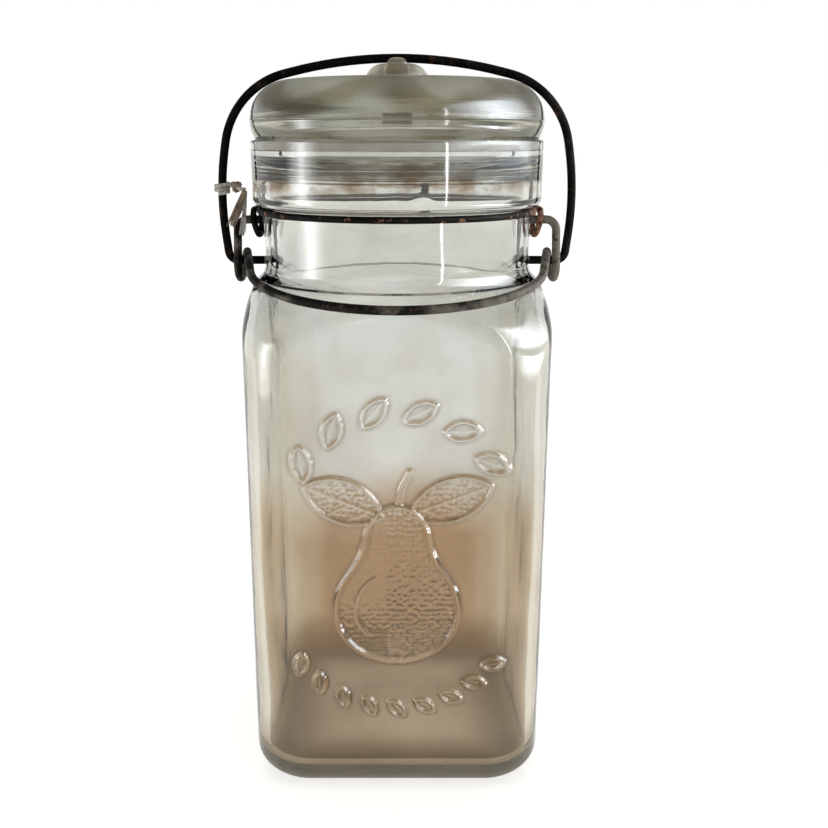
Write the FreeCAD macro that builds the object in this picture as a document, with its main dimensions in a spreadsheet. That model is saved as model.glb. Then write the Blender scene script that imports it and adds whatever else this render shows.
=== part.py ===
# Square one-quart canning jar with a glass lid and a wire bail closure.
# Millimetres. +Z is up, the origin is on the jar's axis at the plane it stands on,
# the lever's handle is at the front (-Y).
import FreeCAD
import Part
import math
import os

import Sketcher

DOC = FreeCAD.newDocument("MasonJar")
V = FreeCAD.Vector
UP = V(0, 0, 1)

# ------------------------------------------------------------------ driving dimensions
DRIVING = {
    # body
    "body_half": 42.25,
    "corner_bend": 17.0,
    "base_edge": 8.0,
    "wall": 3.3,
    "base_thick": 5.5,
    "push_up": 3.2,
    "push_up_rad": 26.0,
    "shoulder_bend": 60.0,
    "shoulder_axis": 4.5,
    "shoulder_level": 96.4,
    "shoulder_soften": 5.0,
    # neck, collar and mouth
    "neck_rad": 38.3,
    "neck_inner": 34.3,
    "neck_blend": 3.0,
    "collar_rad": 41.3,
    "collar_low": 164.6,
    "collar_round": 2.6,
    "collar_top": 182.9,
    "ledge_level": 180.0,
    "ledge_rad": 40.2,
    "mouth_rad": 29.2,
    "mouth_low": 178.0,
    "hollow_rad": 36.4,
    "hollow_top": 174.0,
    "hollow_low": 167.4,
    "hollow_foot": 162.4,
    "rim_rad": 31.8,
    "rim_top": 184.9,
    # sealing ring
    "ring_inner": 32.1,
    "ring_outer": 39.7,
    "ring_thick": 2.3,
    # lid
    "lid_gap": 0.02,
    "lid_rad": 41.25,
    "lid_seat_outer": 39.4,
    "lid_recess_rad": 32.7,
    "lid_recess_high": 4.2,
    "lid_dome_rise": 3.8,
    "lid_bulge_high": 5.8,
    "lid_skirt_bend": 9.3,
    "lid_crown_bend": 10.5,
    "boss_rad": 8.8,
    "boss_high": 4.55,
    "boss_edge": 5.2,
    "boss_slope": 4.2,
    "knob_half": 3.1,
    "knob_near": 2.1,
    "knob_far": 5.6,
    "knob_high": 6.05,
    # wires
    "neck_wire": 1.8,
    "neck_wire_rad": 39.23,
    "neck_wire_level": 163.4,
    "eye_high": 7.0,
    "eye_half": 2.6,
    "pigtail_turn_deg": 13.0,
    "pigtail_arms_deg": 12.0,
    "pigtail_out": 4.9,
    "pigtail_rad": 1.3,
    "pigtail_pitch": 6.0,
    "pigtail_quarters": 9,
    "bail_wire": 2.4,
    "lever_wire": 2.4,
    "pivot_level": 160.6,
    "pivot_drop": 11.73,
    "over_centre": 0.5,
    "wire_end": 38.8,
    "leg_side": 46.1,
    "coil_rad": 3.8,
    "loop_corner_x": 37.4,
    "loop_corner_y": 35.6,
    "loop_front": 54.7,
    "loop_corner_bend": 36.0,
    "loop_front_bend": 46.0,
    "loop_slope_deg": 10.5,
    "bail_top": 204.73,
    "bail_foot": 48.9,
    "bail_side": 51.2,
    "bail_side_level": 168.5,
    "bail_shoulder": 46.2,
    "bail_shoulder_level": 197.0,
    "bail_crown_rise": 3.8,
    "bail_foot_bend": 2.8,
    "bail_side_bend": 85.0,
    "bail_shoulder_bend": 23.0,
    "bail_crown_bend": 123.0,
    # string
    "string_thick": 1.3,
    "string_level": 169.4,
    "string_turns": 2,
    "string_pitch": 1.45,
}

SHEET = DOC.addObject("Spreadsheet::Sheet", "Sizes")
for row, (alias, number) in enumerate(DRIVING.items(), start=1):
    SHEET.set(f"A{row}", alias)
    SHEET.set(f"B{row}", str(number))
    SHEET.setAlias(f"B{row}", alias)
DOC.recompute()


class Size:
    """A length, with the spreadsheet expression that it is worked out by."""

    def __init__(self, number, text):
        self.number = number
        self.text = text

    def join(self, other, sign, number):
        return Size(number, f"({self.text} {sign} {as_size(other).text})")

    def __add__(self, other):
        return self.join(other, "+", self.number + as_size(other).number)

    def __sub__(self, other):
        return self.join(other, "-", self.number - as_size(other).number)

    def __mul__(self, other):
        return self.join(other, "*", self.number * as_size(other).number)

    def root(self):
        return Size(math.sqrt(self.number), f"sqrt({self.text})")


def as_size(value):
    """A Size from a Size or a plain number."""
    return value if isinstance(value, Size) else Size(float(value), repr(float(value)))


def cell(alias):
    """The spreadsheet's cell as a Size."""
    return Size(float(SHEET.get(alias)), f"{SHEET.Name}.{alias}")


def mm(alias):
    """The spreadsheet's cell as a plain number."""
    return float(SHEET.get(alias))


# ------------------------------------------------------------------ sketch helpers
def plane(body, role):
    """One of a body's own origin planes."""
    return next(f for f in body.Origin.OriginFeatures if f.Role == role)


def outline(body, name, role, corners):
    """A closed sketch through (across, up) corners, bound to the sheet.

    A third item in a corner is the radius of an arc to the next corner, positive
    where the arc bulges to the left of the way it runs.
    """
    sketch = body.newObject("Sketcher::SketchObject", name)
    sketch.AttachmentSupport = [(plane(body, role), "")]
    sketch.MapMode = "FlatFace"
    points = [(as_size(c[0]), as_size(c[1])) for c in corners]
    starts = []
    for i, corner in enumerate(corners):
        p = V(points[i][0].number, points[i][1].number, 0)
        q_sizes = points[(i + 1) % len(points)]
        q = V(q_sizes[0].number, q_sizes[1].number, 0)
        if len(corner) == 2:
            sketch.addGeometry(Part.LineSegment(p, q), False)
            starts.append((1, 2))
            continue
        bend = as_size(corner[2])
        arc, forwards = bend_between(p, q, bend.number)
        sketch.addGeometry(arc, False)
        starts.append((1, 2) if forwards else (2, 1))
        bind(sketch, "Radius", (i,), Size(abs(bend.number), f"abs({bend.text})"))
    for i, (first, last) in enumerate(starts):
        following = (i + 1) % len(starts)
        sketch.addConstraint(
            Sketcher.Constraint("Coincident", i, last, following, starts[following][0])
        )
        for kind, size, axis in (("DistanceX", points[i][0], -2), ("DistanceY", points[i][1], -1)):
            if size.number == 0:
                sketch.addConstraint(Sketcher.Constraint("PointOnObject", i, first, axis))
            else:
                bind(sketch, kind, (-1, 1, i, first), size)
    return sketch


def bind(sketch, kind, where, size):
    """A constraint whose value follows the sheet."""
    index = sketch.addConstraint(Sketcher.Constraint(kind, *where, size.number))
    sketch.setExpression(f"Constraints[{index}]", size.text)


def bend_between(p, q, bend):
    """The arc from p to q, and whether it runs anticlockwise from p."""
    radius = abs(bend)
    half = (q - p) * 0.5
    left = V(-half.y, half.x, 0).normalize()
    depth = math.sqrt(radius**2 - half.Length**2)
    centre = p + half + left * (-depth if bend > 0 else depth)
    start, end = (q, p) if bend > 0 else (p, q)
    angles = [math.atan2(e.y - centre.y, e.x - centre.x) for e in (start, end)]
    return Part.ArcOfCircle(Part.Circle(centre, UP, radius), *angles), bend < 0


def pad(body, sketch, low, high):
    """The sketch of the XY plane, made solid between two levels."""
    feature = body.newObject("PartDesign::Pad", f"{sketch.Name}_pad")
    feature.Profile = sketch
    sketch.setExpression("AttachmentOffset.Base.z", as_size(low).text)
    feature.setExpression("Length", (as_size(high) - low).text)
    return feature


def turn(body, sketch, kind):
    """A Revolution or a Groove of the sketch about the jar's axis."""
    feature = body.newObject(f"PartDesign::{kind}", f"{sketch.Name}_turn")
    feature.Profile = sketch
    feature.ReferenceAxis = (sketch, ["V_Axis"])
    feature.Angle = 360
    body.Tip = feature
    return feature


def soften(body, name, base, size, chosen):
    """A Fillet on the edges that chosen(edge) picks."""
    DOC.recompute()
    names = [f"Edge{i}" for i, e in enumerate(base.Shape.Edges, start=1) if chosen(e)]
    if not names:
        raise RuntimeError(f"{name}: no edge was found to soften")
    feature = body.newObject("PartDesign::Fillet", name)
    feature.Base = (base, names)
    feature.setExpression("Radius", as_size(size).text)
    body.Tip = feature
    return feature


def at_level(level):
    """Picks the edges that lie wholly at one height."""
    number = as_size(level).number

    def chosen(edge):
        box = edge.BoundBox
        return abs(box.ZMin - number) < 0.01 and abs(box.ZMax - number) < 0.01

    return chosen


def ring_at(level, radius):
    """Picks the circular edges of one height and radius."""
    flat = at_level(level)
    number = as_size(radius).number

    def chosen(edge):
        if edge.Degenerated or not flat(edge) or not isinstance(edge.Curve, Part.Circle):
            return False
        return abs(edge.Curve.Radius - number) < 0.01

    return chosen


# ------------------------------------------------------------------ wire helpers
def bent_path(route):
    """Straight runs joined by tangent arcs, from (x, y, z, bend) corners."""
    edges = []
    at = V(*route[0][:3])
    for i in range(1, len(route) - 1):
        corner = V(*route[i][:3])
        back = (V(*route[i - 1][:3]) - corner).normalize()
        ahead = (V(*route[i + 1][:3]) - corner).normalize()
        opening = back.getAngle(ahead)
        reach = route[i][3] / math.tan(opening / 2)
        first = corner + back * reach
        last = corner + ahead * reach
        inward = (back + ahead).normalize()
        to_middle = route[i][3] / math.sin(opening / 2) - route[i][3]
        if (first - at).dot(back) > 1e-4:
            raise RuntimeError(f"corner {i} of a wire, {route[i]}, has no room for its bend")
        if (first - at).Length > 1e-4:
            edges.append(Part.LineSegment(at, first).toShape())
        edges.append(Part.Arc(first, corner + inward * to_middle, last).toShape())
        at = last
    edges.append(Part.LineSegment(at, V(*route[-1][:3])).toShape())
    return edges


def wire_solid(edges, diameter):
    """A round wire along edges that run end to end."""
    path = Part.Wire(edges)
    start = path.OrderedEdges[0]
    heading = start.tangentAt(start.FirstParameter)
    section = Part.Wire(
        Part.Circle(start.valueAt(start.FirstParameter), heading, diameter / 2).toShape()
    )
    solid = path.makePipeShell([section], True, False)
    expected = math.pi * diameter**2 / 4 * path.Length
    if abs(solid.Volume / expected - 1) > 0.01:
        raise RuntimeError(f"a wire's volume is {solid.Volume:.2f}, not {expected:.2f}")
    return solid


def mirrored(route):
    """The same corners on the other side of the YZ plane, in the opposite order."""
    return [(-corner[0], *corner[1:]) for corner in reversed(route)]


def wire_feature(label, shape):
    """A bent wire has no sketch, so its shape is set from the sheet's numbers."""
    feature = DOC.addObject("Part::Feature", label)
    feature.Shape = shape
    feature.Label = label
    feature.Placement = FreeCAD.Placement()
    return feature


# ------------------------------------------------------------------ jar
def rounded_square(body, name, half, bend):
    """A square sketch with rounded corners, centred on the axis."""
    flat = half - bend
    zero = Size(0.0, "0")
    low, near = zero - half, zero - flat
    return outline(
        body,
        name,
        "XY_Plane",
        [
            (near, low),
            (flat, low, zero - bend),
            (half, near),
            (half, flat, zero - bend),
            (flat, half),
            (near, half, zero - bend),
            (low, flat),
            (low, near, zero - bend),
        ],
    )


def shoulder_height(bend, radius):
    """How high the shoulder's curve is at a radius."""
    out = radius - cell("shoulder_axis")
    return cell("shoulder_level") + (bend * bend - out * out).root()


def make_jar():
    """A rounded square box, turned to a round neck, collar and mouth, and hollowed."""
    clear = cell("body_half") * 1.6
    top = cell("rim_top")
    wall = cell("wall")
    level = cell("shoulder_level")

    outside = DOC.addObject("PartDesign::Body", "jar_outside")
    block = pad(
        outside,
        rounded_square(outside, "outer_square", cell("body_half"), cell("corner_bend")),
        Size(0.0, "0"),
        top,
    )
    block = soften(outside, "base_edge", block, cell("base_edge"), at_level(0))
    bend = cell("shoulder_bend")
    neck = cell("neck_rad")
    collar = cell("collar_rad")
    ledge = cell("ledge_level")
    turned = turn(
        outside,
        outline(
            outside,
            "outer_turn",
            "XZ_Plane",
            [
                (clear, level),
                (cell("shoulder_axis") + bend, level, Size(0.0, "0") - bend),
                (neck, shoulder_height(bend, neck)),
                (neck, cell("collar_low")),
                (collar, cell("collar_low")),
                (collar, cell("collar_top")),
                (cell("ledge_rad"), cell("collar_top")),
                (cell("ledge_rad"), ledge),
                (cell("rim_rad"), ledge),
                (cell("rim_rad"), top + 1),
                (clear, top + 1),
            ],
        ),
        "Groove",
    )
    dished = turn(
        outside,
        dome(outside, "push_up_outline", Size(0.0, "0"), cell("push_up_rad"), cell("push_up")),
        "Groove",
    )
    arched = soften(outside, "shoulder_soften", dished, cell("shoulder_soften"), shoulder_edges)
    blended = soften(
        outside, "neck_blend", arched, cell("neck_blend"), ring_at(shoulder_height(bend, neck), neck)
    )
    rounded = soften(
        outside, "collar_round", blended, cell("collar_round"), ring_at(cell("collar_low"), collar)
    )
    soften(outside, "mouth_round", rounded, 0.5, mouth_edges)

    inside = DOC.addObject("PartDesign::Body", "jar_inside")
    hollow = pad(
        inside,
        rounded_square(
            inside, "inner_square", cell("body_half") - wall, cell("corner_bend") - wall
        ),
        cell("base_thick"),
        top + 1,
    )
    hollow = soften(
        inside, "inner_base_edge", hollow, cell("base_edge") - 3, at_level(cell("base_thick"))
    )
    bend_in = cell("shoulder_bend") - wall
    neck_in = cell("neck_inner")
    hollow = turn(
        inside,
        outline(
            inside,
            "inner_turn",
            "XZ_Plane",
            [
                (clear, level),
                (cell("shoulder_axis") + bend_in, level, Size(0.0, "0") - bend_in),
                (neck_in, shoulder_height(bend_in, neck_in)),
                (neck_in, cell("hollow_foot")),
                (cell("hollow_rad"), cell("hollow_low")),
                (cell("hollow_rad"), cell("hollow_top")),
                (cell("mouth_rad"), cell("mouth_low")),
                (cell("mouth_rad"), top + 2),
                (clear, top + 2),
            ],
        ),
        "Groove",
    )
    turn(
        inside,
        dome(
            inside,
            "inner_dome",
            cell("base_thick"),
            cell("push_up_rad") - 1,
            cell("push_up"),
        ),
        "Groove",
    )

    jar = DOC.addObject("Part::Cut", "jar_body")
    jar.Base = outside
    jar.Tool = inside
    jar.Label = "jar_body"
    return jar


def dome_bend(radius, rise):
    """The bend of an arc that is level on the axis and falls by the rise at the radius."""
    bend = (radius.number**2 + rise.number**2) / (2 * rise.number)
    return Size(bend, f"((({radius.text})^2 + ({rise.text})^2) / (2 * ({rise.text})))")


def dome(body, name, level, radius, rise):
    """Half of a shallow dome's section, standing on a level."""
    zero = Size(0.0, "0")
    return outline(
        body,
        name,
        "XZ_Plane",
        [
            (zero, level),
            (radius, level, zero - dome_bend(radius, rise)),
            (zero, level + rise),
        ],
    )


def shoulder_edges(edge):
    """The arched edges where the box's sides meet the round shoulder."""
    box = edge.BoundBox
    arched = box.ZMax - box.ZMin > 1
    return arched and box.ZMin > mm("shoulder_level") and box.ZMax < mm("collar_low")


def mouth_edges(edge):
    """The collar's top edge and the raised rim's outer edge."""
    return ring_at(cell("collar_top"), cell("collar_rad"))(edge) or ring_at(
        cell("rim_top"), cell("rim_rad")
    )(edge)


# ------------------------------------------------------------------ lid and ring
def make_ring():
    """The flat rubber ring on the jar's ledge."""
    body = DOC.addObject("PartDesign::Body", "sealing_ring")
    low = cell("ledge_level")
    high = low + cell("ring_thick")
    inner, outer = cell("ring_inner"), cell("ring_outer")
    flat = turn(
        body,
        outline(
            body,
            "ring_section",
            "XZ_Plane",
            [(inner, low), (outer, low), (outer, high), (inner, high)],
        ),
        "Revolution",
    )
    soften(body, "ring_round", flat, 0.3, lambda edge: at_level(low)(edge) or at_level(high)(edge))
    body.Label = "sealing_ring"
    return body


def make_lid():
    """A domed glass lid: recessed below, with a low boss and two knobs on top."""
    body = DOC.addObject("PartDesign::Body", "glass_lid")
    seat = cell("ledge_level") + cell("ring_thick") + cell("lid_gap")
    widest = seat + cell("lid_bulge_high")
    crown = widest + cell("lid_crown_bend")
    rad = cell("lid_rad")
    zero = Size(0.0, "0")
    boss_top = crown + cell("boss_high")
    recess, rise = cell("lid_recess_rad"), cell("lid_dome_rise")
    underside = seat + cell("lid_recess_high")
    turn(
        body,
        outline(
            body,
            "lid_section",
            "XZ_Plane",
            [
                (zero, underside + rise, dome_bend(recess, rise)),
                (recess, underside),
                (recess, seat),
                (cell("lid_seat_outer"), seat, zero - cell("lid_skirt_bend")),
                (rad, widest, zero - cell("lid_crown_bend")),
                (rad - cell("lid_crown_bend"), crown),
                (cell("boss_rad"), crown, zero - cell("boss_edge")),
                (cell("boss_rad") - cell("boss_slope"), boss_top),
                (zero, boss_top),
            ],
        ),
        "Revolution",
    )
    near, far, half = cell("knob_near"), cell("knob_far"), cell("knob_half")
    for side, name in ((1, "back_knob"), (-1, "front_knob")):
        section = outline(
            body,
            name,
            "XY_Plane",
            [
                (zero - half, near * side),
                (half, near * side),
                (half - 1, far * side),
                (zero - half + 1, far * side),
            ],
        )
        knob = pad(body, section, crown + 1, crown + cell("knob_high"))
    body.Tip = knob
    knob_top = crown + cell("knob_high")
    soften(body, "knob_round", knob, 0.9, at_level(knob_top))
    body.Label = "glass_lid"
    return body


# ------------------------------------------------------------------ wires
def eye_route():
    """The eye on the +X side, front to back: a drop-shaped loop that crosses itself at
    the top, the second crossing one wire outside the first."""
    rad, level = mm("neck_wire_rad"), mm("neck_wire_level")
    half, high = mm("eye_half"), mm("eye_high")
    out = mm("neck_wire") + 0.3
    tight = half * 0.72
    corners = [
        (0.2, half, -0.36 * high, 3.0),
        (0.4, half * 0.85, -high, tight),
        (0.8, -half * 0.85, -high, tight),
        (out, -half, -0.36 * high, 3.0),
        (out, -0.5, 0.0, 1.5),
        (out, 3.0, 0.0, 4.0),
    ]
    return [(rad + x, y, level + z, bend) for x, y, z, bend in corners]


def on_neck(angle):
    """A point of the neck wire's circle; 0 is +X and a quarter turn is the back."""
    rad = mm("neck_wire_rad")
    return (rad * math.cos(angle), rad * math.sin(angle), mm("neck_wire_level"))


def off_neck(angle, run, bend):
    """A corner that the wire reaches by leaving its circle straight ahead."""
    x, y, z = on_neck(angle)
    return (x - run * math.sin(angle), y + run * math.cos(angle), z, bend)


def neck_arc(side, start, end):
    """A stretch of the neck wire's circle, on the +X or the -X side."""
    points = [on_neck(angle) for angle in (start, (start + end) / 2, end)]
    return Part.Arc(*[V(side * x, y, z) for x, y, z in points]).toShape()


def pigtail(phase):
    """One strand of the twisted ends, which stand up behind the collar."""
    strand = mm("pigtail_rad")
    axis = mm("neck_wire_rad") + mm("pigtail_out")
    aside = math.radians(mm("pigtail_turn_deg"))
    route = []
    for i in range(int(mm("pigtail_quarters"))):
        angle = phase + i * math.pi / 2
        across, along = strand * math.cos(angle), axis + strand * math.sin(angle)
        x = across * math.cos(aside) + along * math.sin(aside)
        y = along * math.cos(aside) - across * math.sin(aside)
        rise = 0.6 + i * mm("pigtail_pitch") / 4
        route.append((x, y, mm("neck_wire_level") + rise, strand * 1.1))
    return route


def half_neck_wire(side):
    """Half of the neck wire, from the front's middle to the end of its tail."""
    front, before, after = -math.pi / 2, -0.09, 0.3
    back = math.radians(90 - side * mm("pigtail_turn_deg") - mm("pigtail_arms_deg"))
    into_eye = off_neck(before, 4.0, 1.5)
    out_of_eye = off_neck(after, -3.5, 3.0)
    eye = [on_neck(before), into_eye, *eye_route(), out_of_eye, on_neck(after)]
    ends = [on_neck(back), off_neck(back, 4.0, 3.0)]
    eye, ends = ([(side * c[0], *c[1:]) for c in route] for route in (eye, ends))
    tail = pigtail(0) if side > 0 else pigtail(math.pi)[1:]
    return wire_solid(
        [
            neck_arc(side, front, before),
            *bent_path(eye),
            neck_arc(side, after, back),
            *bent_path([*ends, *tail[:-1], tail[-1][:3]]),
        ],
        mm("neck_wire"),
    )


def make_neck_wire():
    """The wire round the neck: two eyes at the sides, its ends twisted behind."""
    halves = half_neck_wire(1).fuse(half_neck_wire(-1))
    return wire_feature("neck_wire", halves.removeSplitter())


def make_lever():
    """The lever: two ends in the neck wire's eyes, a coil at each side, a front handle."""
    wire = mm("lever_wire")
    coil = mm("coil_rad")
    across = mm("over_centre")
    centre = mm("pivot_level") - mm("pivot_drop") - coil + wire / 2 + mm("bail_wire") / 2 + 0.03
    side = mm("leg_side")
    drop = mm("pivot_level") - centre
    lean = math.asin(coil / math.hypot(drop, across)) + math.atan2(-across, drop)
    slope = math.radians(mm("loop_slope_deg"))
    low_front = across - coil * math.tan((math.pi / 2 + lean) / 2)
    high_back = centre + coil * math.tan((math.pi / 2 + slope) / 2)
    back = across + coil

    def loop_level(y):
        return high_back - (back - y) * math.tan(slope)

    route = [
        (mm("wire_end"), 0, mm("pivot_level")),
        (side, 0, mm("pivot_level"), wire * 1.25),
        (side, low_front, centre - coil, coil),
        (side - wire * 0.15, back, centre - coil, coil),
        (side - wire * 0.7, back, high_back, coil),
        (
            mm("loop_corner_x"),
            -mm("loop_corner_y"),
            loop_level(-mm("loop_corner_y")),
            mm("loop_corner_bend"),
        ),
    ]
    front = (0, -mm("loop_front"), loop_level(-mm("loop_front")), mm("loop_front_bend"))
    return wire_feature(
        "lever_wire", wire_solid(bent_path([*route, front, *mirrored(route)]), wire)
    )


def bail_route():
    """Half of the bail, from its end beside the neck to the shoulder of its arch."""
    y = mm("over_centre")
    foot = mm("pivot_level") - mm("pivot_drop")
    return [
        (mm("wire_end"), y, foot),
        (mm("bail_foot"), y, foot, mm("bail_foot_bend")),
        (mm("bail_side"), y, mm("bail_side_level"), mm("bail_side_bend")),
        (mm("bail_shoulder"), y, mm("bail_shoulder_level"), mm("bail_shoulder_bend")),
    ]


def make_bail():
    """The bail: an arch over the lid whose ends turn in through the lever's coils."""
    route = bail_route()
    crown = (0, mm("over_centre"), mm("bail_top") + mm("bail_crown_rise"), mm("bail_crown_bend"))
    path = bent_path([*route, crown, *mirrored(route)])
    return wire_feature("bail_wire", wire_solid(path, mm("bail_wire")))


def make_string():
    """Old cotton string wound on the bail's left side, knotted, with two loose ends."""
    thick = mm("string_thick")
    level = mm("string_level")
    hold = mm("bail_wire") / 2 + thick / 2 + 0.03
    _, foot, side, shoulder = (V(*corner[:3]) for corner in bail_route())
    bow = (side - foot).getAngle(shoulder - side)
    centre_x = mm("bail_side_bend") * (1 / math.cos(bow / 2) - 1) - mm("bail_side")
    centre_y = mm("over_centre")
    route = [(-47.6, -4.0, 159.6), (-43.3, -3.0, 168.3, 1.5)]
    steps = 4 * int(mm("string_turns")) + 1
    rise = mm("string_pitch") / 4
    for i in range(steps):
        angle = -math.pi / 4 + i * math.pi / 2
        reach = hold * math.sqrt(2)
        x = centre_x + reach * math.cos(angle)
        y = centre_y + reach * math.sin(angle)
        route.append((x, y, level + rise * (i - steps / 2), hold * 0.97))
    route += [(-43.6, -0.9, 170.2, 1.2), (-44.6, -3.6, 156.4)]
    tube = wire_solid(bent_path(route), thick)
    return wire_feature("string_tie", tube)


# ------------------------------------------------------------------ build and write
def main():
    jar = make_jar()
    ring = make_ring()
    lid = make_lid()
    parts = [jar, ring, lid, make_neck_wire(), make_lever(), make_bail(), make_string()]
    DOC.recompute()
    for item in DOC.Objects:
        if "Invalid" in item.State or "Error" in item.State:
            raise RuntimeError(f"{item.Label} failed: {item.State}")
    os.makedirs("parts", exist_ok=True)
    for part in parts:
        shape = part.Shape
        if shape.isNull() or not shape.isValid() or len(shape.Solids) != 1:
            raise RuntimeError(f"{part.Label} is not one valid solid")
        shape.exportStep(f"parts/{part.Label}.step")
        box = shape.BoundBox
        print(
            f"{part.Label}: {shape.Volume / 1000:.2f} cm3,"
            f" x {box.XMin:.2f} {box.XMax:.2f}, y {box.YMin:.2f} {box.YMax:.2f},"
            f" z {box.ZMin:.2f} {box.ZMax:.2f}"
        )
    print(f"inside of the jar: {DOC.getObject('jar_inside').Shape.Volume / 1000:.1f} cm3")


main()
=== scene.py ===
"""Looks of the square canning jar: pressed glass, worn wires, rubber ring and old string.

Lengths in the shape tables are millimetres in the model's frame: +Z up, -Y the front.
"""

import math

import bpy
import numpy as np
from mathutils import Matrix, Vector, noise


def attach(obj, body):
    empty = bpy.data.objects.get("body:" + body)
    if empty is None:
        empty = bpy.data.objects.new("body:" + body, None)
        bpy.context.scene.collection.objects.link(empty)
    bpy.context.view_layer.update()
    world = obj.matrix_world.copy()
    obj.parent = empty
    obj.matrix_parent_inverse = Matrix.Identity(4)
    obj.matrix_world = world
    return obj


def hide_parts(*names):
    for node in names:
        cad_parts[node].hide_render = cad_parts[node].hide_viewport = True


MM = 0.001
TALLEST = 0.21  # metres, where the colours by height end
# Colour of the painted shade at the foot of the raised work on the jar's front.
FOOT_SHADE_COLOUR = (0.5, 0.43, 0.34)
PAINTED_WIRE_IMAGE, PAINTED_WIRE_LEVEL = (0.36, 0.24, 0.15), 0.1735  # colour of the painted brown image of the back wire seen through the collar, and its height in metres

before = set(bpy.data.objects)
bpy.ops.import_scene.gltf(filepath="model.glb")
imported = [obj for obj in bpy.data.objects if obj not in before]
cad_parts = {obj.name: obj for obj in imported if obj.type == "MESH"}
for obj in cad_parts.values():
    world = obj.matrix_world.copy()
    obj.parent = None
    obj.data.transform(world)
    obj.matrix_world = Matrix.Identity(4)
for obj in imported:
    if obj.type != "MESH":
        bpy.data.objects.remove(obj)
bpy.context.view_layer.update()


# ------------------------------------------------------------------ node helpers
def new_material(name):
    """A material with an empty node tree, its Principled shader and a node maker."""
    material = bpy.data.materials.new(name)
    material.use_nodes = True
    tree = material.node_tree
    shader = next(n for n in tree.nodes if n.type == "BSDF_PRINCIPLED")
    return material, tree, shader


def node(tree, kind, **settings):
    """A node with its properties set by name, and its inputs by place or name."""
    made = tree.nodes.new(kind)
    for key, value in settings.pop("inputs", {}).items():
        made.inputs[key].default_value = value
    for key, value in settings.items():
        setattr(made, key, value)
    return made


def link(tree, source, target):
    tree.links.new(source, target)


def place_parts(tree):
    """The outputs X, Y and Z of the object's own coordinates, in metres."""
    place = node(tree, "ShaderNodeTexCoord")
    parts = node(tree, "ShaderNodeSeparateXYZ")
    link(tree, place.outputs["Object"], parts.inputs["Vector"])
    return parts.outputs


def noise_node(tree, scale, detail=4.0, stretch=(1.0, 1.0, 1.0)):
    """Noise over the object's own coordinates, in metres."""
    place = node(tree, "ShaderNodeTexCoord")
    mapping = node(tree, "ShaderNodeMapping", inputs={"Scale": stretch})
    made = node(tree, "ShaderNodeTexNoise", inputs={"Scale": scale, "Detail": detail})
    link(tree, place.outputs["Object"], mapping.inputs["Vector"])
    link(tree, mapping.outputs["Vector"], made.inputs["Vector"])
    return made


def ramp(tree, source, stops):
    """A colour ramp of (place, colour) stops."""
    made = node(tree, "ShaderNodeValToRGB")
    elements = made.color_ramp.elements
    while len(elements) < len(stops):
        elements.new(0.5)
    for element, (place, colour) in zip(elements, stops):
        element.position = place
        element.color = (*colour, 1.0) if len(colour) == 3 else colour
    link(tree, source, made.inputs["Fac"])
    return made


def bump(tree, shader, height, strength, distance):
    made = node(tree, "ShaderNodeBump", inputs={"Strength": strength, "Distance": distance})
    link(tree, height, made.inputs["Height"])
    link(tree, made.outputs["Normal"], shader.inputs["Normal"])
    return made


def math_node(tree, operation, first, second):
    """A Math node of two sources, each a socket or a number."""
    made = node(tree, "ShaderNodeMath", operation=operation)
    for i, source in enumerate((first, second)):
        if isinstance(source, (int, float)):
            made.inputs[i].default_value = source
        else:
            link(tree, source, made.inputs[i])
    return made.outputs["Value"]


def ease(tree, source, start, end):
    """0 at start and 1 at end, smoothly."""
    made = node(
        tree,
        "ShaderNodeMapRange",
        interpolation_type="SMOOTHSTEP",
        inputs={"From Min": start, "From Max": end, "To Min": 0.0, "To Max": 1.0},
    )
    link(tree, source, made.inputs["Value"])
    return made.outputs["Result"]


def by_height(tree, height, stops):
    """A colour that changes with height, from (metres, colour) stops."""
    share = math_node(tree, "DIVIDE", height, TALLEST)
    return ramp(tree, share, [(z / TALLEST, colour) for z, colour in stops]).outputs["Color"]


def mixed(tree, factor, first, second, blend_type="MIX"):
    """Two colours, each a socket or a tuple, mixed by a factor."""
    made = node(tree, "ShaderNodeMix", data_type="RGBA", blend_type=blend_type)
    for slot, source in ((0, factor), (6, first), (7, second)):
        if isinstance(source, tuple):
            made.inputs[slot].default_value = (*source, 1.0)
        elif isinstance(source, float):
            made.inputs[slot].default_value = source
        else:
            link(tree, source, made.inputs[slot])
    return made.outputs[2]


# ------------------------------------------------------------------ materials
def drifting_height(tree, at, leaning):
    """The height, uneven by soft noise and, if leaning, counted higher towards the back."""
    cloud = noise_node(tree, 26.0, 3.0)
    drift = math_node(tree, "MULTIPLY", cloud.outputs["Fac"], 0.04)
    drifted = math_node(tree, "ADD", at["Z"], math_node(tree, "SUBTRACT", drift, 0.02))
    if leaning:
        lean = math_node(tree, "MULTIPLY", math_node(tree, "ADD", at["Y"], 0.042), 0.36)
        drifted = math_node(tree, "ADD", drifted, lean)
    low_down = ease(tree, at["Z"], 0.01, 0.05)
    height = node(tree, "ShaderNodeMix", data_type="FLOAT")
    for slot, source in ((0, low_down), (2, at["Z"]), (3, drifted)):
        link(tree, source, height.inputs[slot])
    return height.outputs[0]


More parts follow.
